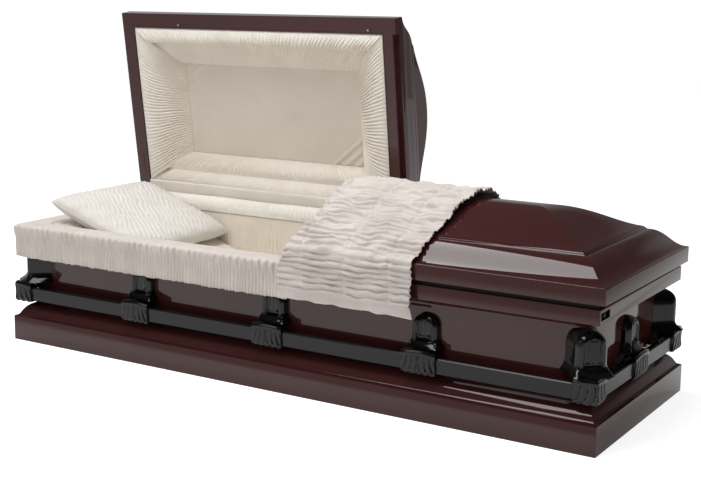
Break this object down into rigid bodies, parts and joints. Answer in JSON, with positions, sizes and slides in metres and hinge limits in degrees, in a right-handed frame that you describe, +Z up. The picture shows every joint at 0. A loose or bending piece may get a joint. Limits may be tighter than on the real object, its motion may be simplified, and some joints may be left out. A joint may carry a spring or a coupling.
{
  "type": "funeral casket",
  "caption": "Half-couch steel casket with moulded base, square body, low crowned two-part lid, flat handle bar on cast arms all round and a pleated cloth interior",
  "frame": {"origin": "centre of the bottom pan's underside, on the surface that the casket stands on", "axes": "+X to the foot end, +Y to the hinge side, +Z up"},
  "size_m": [2.1412, 0.8299, 1.1095],
  "materials": {
    "lacquer": "high gloss dark burgundy brown lacquer on sheet steel",
    "black_casting": "high gloss black on cast zinc",
    "bar_metal": "satin dark grey on square steel bar",
    "bare_steel": "plain steel",
    "seal": "matt black rubber strip",
    "crepe": "crinkled ivory crepe",
    "throw_cloth": "shirred ivory crepe, softly quilted"
  },
  "bodies": {
    "root": {"base_moulding": "lacquer", "bottom_pan": "bare_steel", "body_shell": "lacquer", "lock_pocket": "black_casting", "lock_plug": "bare_steel", "gasket": "seal", "front_bar": "bar_metal", "rear_bar": "bar_metal", "head_end_bar": "bar_metal", "foot_end_bar": "bar_metal", "front_arm_1": "black_casting", "front_clasp_1": "black_casting", "rear_arm_1": "black_casting", "rear_clasp_1": "black_casting", "front_arm_2": "black_casting", "front_clasp_2": "black_casting", "rear_arm_2": "black_casting", "rear_clasp_2": "black_casting", "front_arm_3": "black_casting", "front_clasp_3": "black_casting", "rear_arm_3": "black_casting", "rear_clasp_3": "black_casting", "head_end_arm": "black_casting", "head_end_clasp": "black_casting", "foot_end_arm": "black_casting", "foot_end_clasp": "black_casting", "head_front_corner_arm": "black_casting", "head_front_corner_clasp": "black_casting", "foot_front_corner_arm": "black_casting", "foot_front_corner_clasp": "black_casting", "head_rear_corner_arm": "black_casting", "head_rear_corner_clasp": "black_casting", "foot_rear_corner_arm": "black_casting", "foot_rear_corner_clasp": "black_casting", "bed": "crepe", "front_lining": "crepe", "rear_lining": "crepe", "head_end_lining": "crepe", "foot_end_lining": "crepe", "rim_skirt": "crepe", "rear_roll": "crepe", "pillow": "throw_cloth", "head_hinge": "bare_steel", "foot_hinge": "bare_steel"},
    "foot_lid": {"foot_lid": "lacquer", "foot_lid_header": "lacquer", "foot_hinge_leaf": "bare_steel", "lid_throw": "throw_cloth"},
    "head_lid": {"head_lid": "lacquer", "head_lid_header": "lacquer", "head_hinge_leaf": "bare_steel", "stay_plate": "bare_steel", "cap_panel": "crepe", "front_puff": "crepe", "rear_puff": "crepe", "head_puff": "crepe", "foot_puff": "crepe", "latch_peg_1": "bare_steel", "latch_peg_2": "bare_steel"}
  },
  "joints": [
    {"name": "head_lid_hinge", "type": "hinge", "parent": "root", "child": "head_lid", "pos_m": [-0.4755, 0.3473, 0.423], "axis": [-1, 0, 0], "range_deg": [-82.2, 0], "deforming": ["pillow", "lid_throw", "rear_roll"]},
    {"name": "foot_lid_hinge", "type": "hinge", "parent": "root", "child": "foot_lid", "pos_m": [0.5815, 0.3473, 0.423], "axis": [-1, 0, 0], "range_deg": [0, 80]}
  ]
}
